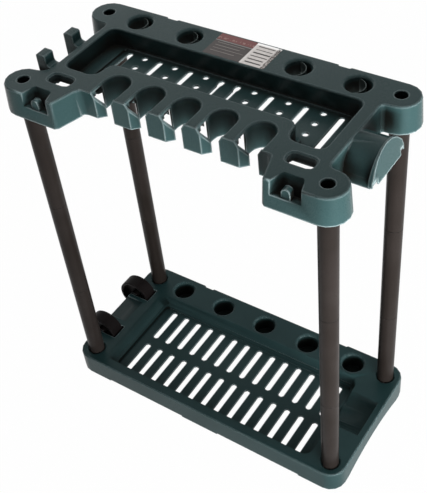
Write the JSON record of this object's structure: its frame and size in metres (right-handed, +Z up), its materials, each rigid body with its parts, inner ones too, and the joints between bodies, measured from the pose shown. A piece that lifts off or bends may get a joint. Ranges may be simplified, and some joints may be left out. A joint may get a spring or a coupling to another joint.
{
  "type": "garden tool rack",
  "caption": "Freestanding two-level garden tool rack: slotted trays on round poles, holes and cups for long shafts, a notched comb, a hose saddle, prongs and transport wheels.",
  "frame": {"origin": "centre of the bounding box in plan, on the floor", "axes": "+X towards the hose saddle end, +Y towards the rail of round holes at the back, +Z up"},
  "size_m": [0.561, 0.2536, 0.6305],
  "materials": {
    "green_plastic": "satin moulded plastic, dark grey green",
    "dark_plastic": "satin plastic tube, brown black",
    "black_plastic": "matt moulded plastic, black"
  },
  "bodies": {
    "frame": {"top_tray": "green_plastic", "base_tray": "green_plastic", "pole_front_left_lower": "dark_plastic", "pole_front_left_middle": "dark_plastic", "pole_front_left_upper": "dark_plastic", "pole_front_right_lower": "dark_plastic", "pole_front_right_middle": "dark_plastic", "pole_front_right_upper": "dark_plastic", "pole_rear_right_lower": "dark_plastic", "pole_rear_right_middle": "dark_plastic", "pole_rear_right_upper": "dark_plastic", "pole_rear_left_lower": "dark_plastic", "pole_rear_left_middle": "dark_plastic", "pole_rear_left_upper": "dark_plastic", "wheel_pin_front": "black_plastic", "wheel_pin_rear": "black_plastic"},
    "front_wheel": {"wheel_front": "black_plastic"},
    "rear_wheel": {"wheel_rear": "black_plastic"}
  },
  "joints": [
    {"name": "front_wheel_spin", "type": "hinge", "parent": "frame", "child": "front_wheel", "pos_m": [-0.2485, -0.0495, 0.033], "axis": [0, 1, 0], "continuous": true},
    {"name": "rear_wheel_spin", "type": "hinge", "parent": "frame", "child": "rear_wheel", "pos_m": [-0.2485, 0.0525, 0.033], "axis": [0, 1, 0], "continuous": true}
  ]
}
